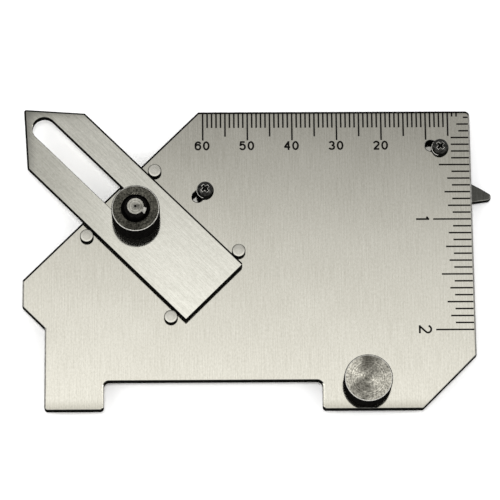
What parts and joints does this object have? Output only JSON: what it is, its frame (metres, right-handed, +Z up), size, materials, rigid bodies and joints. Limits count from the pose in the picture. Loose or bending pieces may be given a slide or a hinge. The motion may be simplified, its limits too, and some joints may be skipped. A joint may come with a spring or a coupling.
{
  "type": "weld gauge",
  "caption": "Flat steel weld gauge with bridge feet, ruler edges, a slotted 45 degree throat slider clamped by a round nut, and a pivoting cam with a beak.",
  "frame": {"origin": "on the surface the gauge lies on, under the middle of its outline as seen from above", "axes": "+X along the millimetre ruler towards its zero, +Y from the feet to the ruled upper edge, +Z up out of the ruler side"},
  "size_m": [0.1045, 0.0684, 0.015],
  "materials": {
    "plate_steel": "satin stainless with an upright grain, black etched ruler marks",
    "slider_steel": "satin stainless with its grain along the slider",
    "turned_steel": "turned steel with ring marks on its end",
    "dark_nut": "dark oxidised turned steel",
    "cam_steel": "dark satin steel",
    "guide_steel": "satin stainless",
    "bush_steel": "turned steel",
    "knob_steel": "turned steel with fine rings on its face",
    "pin_steel": "polished pin ends",
    "black_screw": "black oxide"
  },
  "bodies": {
    "gauge": {"body_plate": "plate_steel", "slider_stud": "turned_steel", "guide_pin_1": "pin_steel", "guide_pin_2": "pin_steel", "guide_pin_3": "pin_steel", "guide_pin_4": "pin_steel", "arc_guide": "guide_steel", "guide_screw_1": "black_screw", "guide_screw_2": "black_screw", "pivot_bush": "bush_steel"},
    "slider": {"throat_slider": "slider_steel"},
    "nut": {"slider_nut": "dark_nut"},
    "cam": {"cam": "cam_steel"},
    "knob": {"pivot_knob": "knob_steel"}
  },
  "joints": [
    {"name": "slider_slide", "type": "slide", "parent": "gauge", "child": "slider", "axis": [0.7071, -0.7071, 0], "range_m": [-0.0005, 0.0285]},
    {"name": "nut_turn", "type": "hinge", "parent": "gauge", "child": "nut", "pos_m": [-0.02716, 0.00916, 0.01], "axis": [0, 0, 1], "range_deg": [0, 180]},
    {"name": "cam_swing", "type": "hinge", "parent": "gauge", "child": "cam", "pos_m": [0.0236, -0.0284, 0.00165], "axis": [0, 0, 1], "range_deg": [-70, 8]},
    {"name": "knob_turn", "type": "hinge", "parent": "gauge", "child": "knob", "pos_m": [0.0236, -0.0284, 0.007], "axis": [0, 0, 1], "range_deg": [0, 180]}
  ]
}
